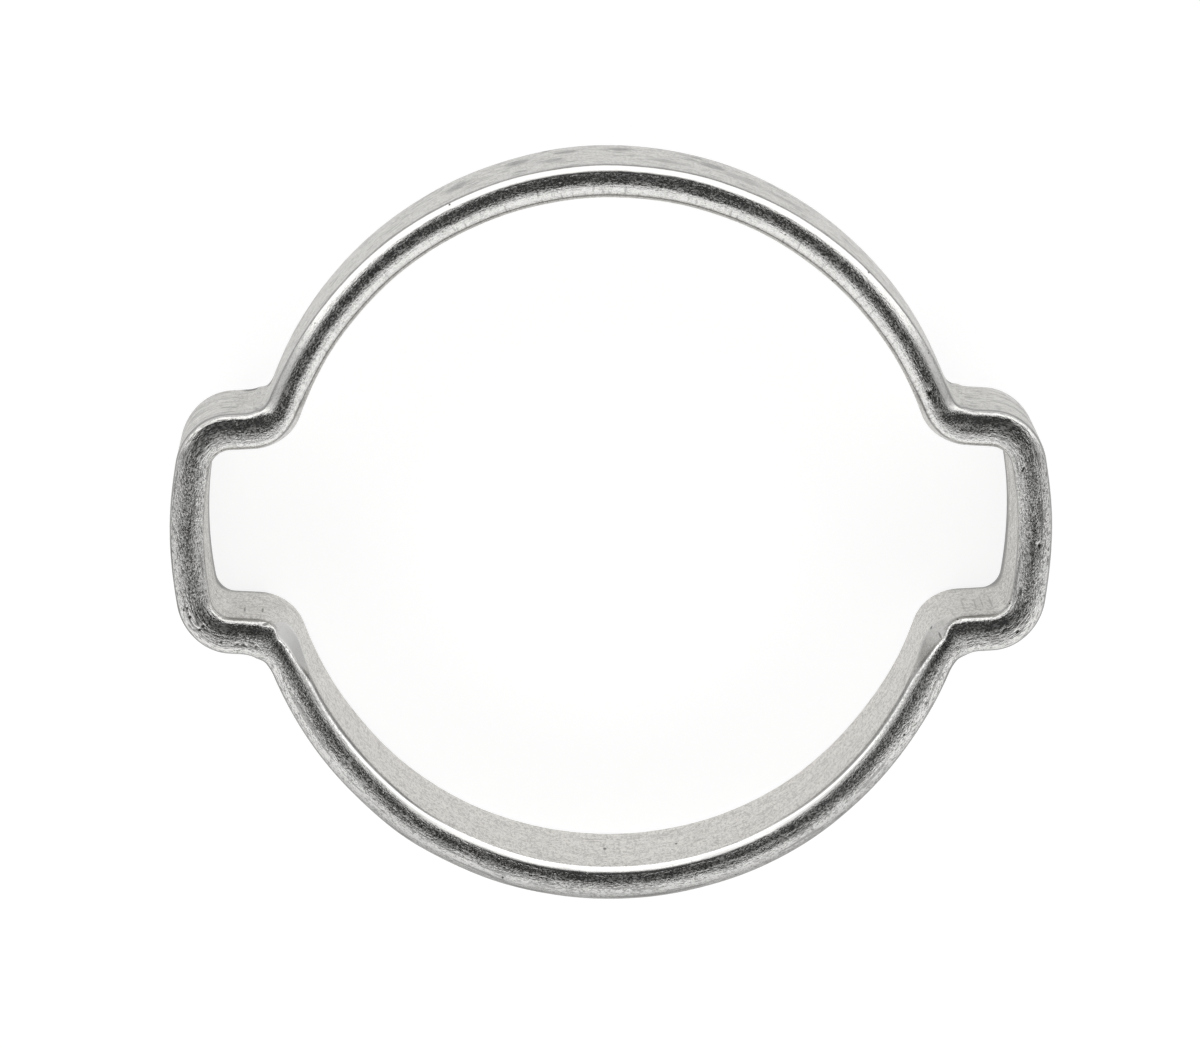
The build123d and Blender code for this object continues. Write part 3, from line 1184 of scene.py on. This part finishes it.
def grid_mesh(name: str, grid: np.ndarray) -> bpy.types.Mesh:
    """A closed surface whose grid joins up with itself in both directions.

    Args:
        name: the mesh's name.
        grid: its vertices in metres, along and then round.

    Returns:
        The mesh, smooth-shaded.
    """
    n, m = grid.shape[:2]
    i, j = np.meshgrid(np.arange(n), np.arange(m), indexing="ij")
    after_i, after_j = (i + 1) % n, (j + 1) % m
    faces = np.stack([i * m + j, i * m + after_j, after_i * m + after_j, after_i * m + j], axis=-1)
    mesh = bpy.data.meshes.new(name)
    mesh.from_pydata(grid.reshape(-1, 3).tolist(), [], faces.reshape(-1, 4).tolist())
    mesh.polygons.foreach_set("use_smooth", np.ones(n * m, dtype=bool))
    mesh.update()
    return mesh


def vertex_data(mesh: bpy.types.Mesh, name: str, values: np.ndarray) -> None:
    """Stores a number or a vector at each vertex of a grid mesh."""
    kind, what = ("FLOAT_VECTOR", "vector") if values.ndim == 3 else ("FLOAT", "value")
    mesh.attributes.new(name, kind, "POINT").data.foreach_set(what, values.astype("f").ravel())


def corner_data(mesh: bpy.types.Mesh, name: str, values: np.ndarray) -> None:
    """Stores a vector at each face corner, so that a pattern may jump where the section closes.

    Args:
        mesh: a grid mesh of n by m faces.
        name: the attribute's name.
        values: n by m + 1 vectors; the last column is the section's first point, met again.
    """
    after = np.roll(values, -1, axis=0)
    corners = np.stack([values[:, :-1], values[:, 1:], after[:, 1:], after[:, :-1]], axis=2)
    layer = mesh.attributes.new(name, "FLOAT_VECTOR", "CORNER")
    layer.data.foreach_set("vector", corners.astype("f").ravel())


def place_in_scene(name: str, mesh: bpy.types.Mesh) -> bpy.types.Object:
    """An object at the origin, unturned, that shows a mesh."""
    piece = bpy.data.objects.new(name, mesh)
    bpy.context.scene.collection.objects.link(piece)
    return piece


# ---------------------------------------------------------------- studio


@dataclass(frozen=True)
class Studio:
    """A lit table in a light tent whose dark mouth is round the camera."""

    mouth_tilt: float = math.radians(9.19)
    mouth: float = math.radians(37.0)
    mouth_edge: float = math.radians(5.0)
    dark: float = 0.045
    key: float = 1.5
    fill: float = 1.22
    flank: float = 0.5
    behind: float = 1.2
    low: float = 0.45
    ahead_bearings: tuple[float, float] = (-0.02, 0.50)
    side_bearings: tuple[float, float] = (-0.32, -0.10)
    behind_bearings: tuple[float, float] = (-0.99, -0.75)
    low_heights: tuple[float, float] = (0.12, 0.22)
    table_reach: float = 3.0
    table: TableFinish = field(default_factory=TableFinish)

    def lay_table(self) -> bpy.types.Object:
        """Makes the table top, a flat square at the level of the clamp's under rim.

        Returns:
            The table top.
        """
        r = self.table_reach
        mesh = bpy.data.meshes.new("table_top")
        mesh.from_pydata([(-r, -r, 0), (r, -r, 0), (r, r, 0), (-r, r, 0)], [], [(0, 1, 2, 3)])
        mesh.materials.append(self.table.material())
        top = place_in_scene("table_top", mesh)
        return top

    def light_tent(self) -> bpy.types.World:
        """Lights the scene from all round, by direction.

        Brightness is dark within the mouth, a cone about the way to the camera. Outside it, it is key
        towards +Y, flank towards -X and +X, fill on both sides of -Y and behind straight towards -Y, and
        it falls to low near the table.

        Returns:
            The world.
        """
        world = bpy.data.worlds.new("light_tent")
        world.use_nodes = True
        board = Board(world.node_tree)
        way = board.add("ShaderNodeTexCoord").outputs["Generated"]
        axis = (0.0, math.sin(self.mouth_tilt), math.cos(self.mouth_tilt))
        facing = board.add("ShaderNodeVectorMath", {0: way, 1: axis}, operation="DOT_PRODUCT")
        outside = board.spread(facing.outputs["Value"], math.cos(self.mouth + self.mouth_edge),
                               math.cos(self.mouth - self.mouth_edge), 1.0, 0.0)
        part = board.add("ShaderNodeSeparateXYZ", {0: way}).outputs
        flat = board.math("SQRT", board.less(1.0, board.times(part[2], part[2])))
        bearing = board.math("DIVIDE", part[1], board.most(flat, 0.001))
        side = board.plus(
            board.spread(bearing, *self.ahead_bearings, 0.0, self.key - self.flank),
            board.spread(bearing, *self.behind_bearings, self.behind - self.fill, 0.0),
            board.spread(bearing, *self.side_bearings, self.fill - self.flank, 0.0), self.flank)
        low_share = board.spread(part[2], *self.low_heights, 1.0, 0.0)
        side = board.plus(board.times(side, board.less(1.0, low_share)), board.times(low_share, self.low))
        lit = board.line(outside, side, self.dark)
        glow = board.add("ShaderNodeBackground", {"Color": (1.0, 1.0, 1.0, 1.0), "Strength": lit})
        board.add("ShaderNodeOutputWorld", {"Surface": glow.outputs[0]})
        bpy.context.scene.world = world
        return world


@dataclass(frozen=True)
class Camera:
    """A long lens, nearly straight above the clamp."""

    distance: float = 0.460
    focal_pixels: float = 8230.0
    tilt: float = math.radians(9.19)
    turn: float = math.radians(-0.89)
    roll: float = math.radians(-0.1)
    right_of_middle: float = 11.21
    below_middle: float = 9.51
    sensor: float = 36.0

    def place(self, level: float) -> bpy.types.Object:
        """Sets up the camera, turned so that the clamp's middle falls beside the picture's middle.

        Args:
            level: height in metres of the point that the distance is measured from.

        Returns:
            The camera.
        """
        away = Vector((math.sin(self.turn) * math.cos(self.tilt), math.sin(self.tilt),
                       math.cos(self.turn) * math.cos(self.tilt)))
        right = (-away).cross(Vector((0, 1, 0))).normalized()
        up = right.cross(-away)
        c, s = math.cos(self.roll), math.sin(self.roll)
        right, up = c * right + s * up, c * up - s * right
        aim = (up * self.below_middle - right * self.right_of_middle) / self.focal_pixels - away
        aim.normalize()
        right = aim.cross(up).normalized()
        up = right.cross(aim)
        lens = bpy.data.cameras.new("camera")
        lens.sensor_width = self.sensor
        lens.lens = self.focal_pixels / PICTURE_WIDTH * self.sensor
        lens.clip_start = 0.01
        camera = bpy.data.objects.new("camera", lens)
        spot = away * self.distance + Vector((0, 0, level))
        camera.matrix_world = Matrix([(right[k], up[k], -aim[k], spot[k]) for k in range(3)] + [(0, 0, 0, 1)])
        bpy.context.scene.collection.objects.link(camera)
        bpy.context.scene.camera = camera
        return camera


# ---------------------------------------------------------------- making


def corners(box: tuple[Vector, Vector]) -> list[list[float]]:
    """A box's two corners as plain lists."""
    return [[float(value) for value in corner] for corner in box]


def main() -> None:
    """Builds the clamp and its studio, in order."""
    logging.basicConfig(level=logging.INFO, format="%(name)s: %(message)s")
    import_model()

    clamp = ClampBand()
    band = clamp.build()
    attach(band, BODY)
    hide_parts(NODE)
    LOG.info("%s: %d vertices, %d faces", band.name, len(band.data.vertices), len(band.data.polygons))

    studio = Studio()
    LOG.info("%s laid", studio.lay_table().name)
    LOG.info("%s lit", studio.light_tent().name)
    LOG.info("%s placed", Camera().place(clamp.section.width * MM).name)
    bpy.context.scene.view_settings.view_transform = "Standard"


if __name__ == "__main__":
    main()
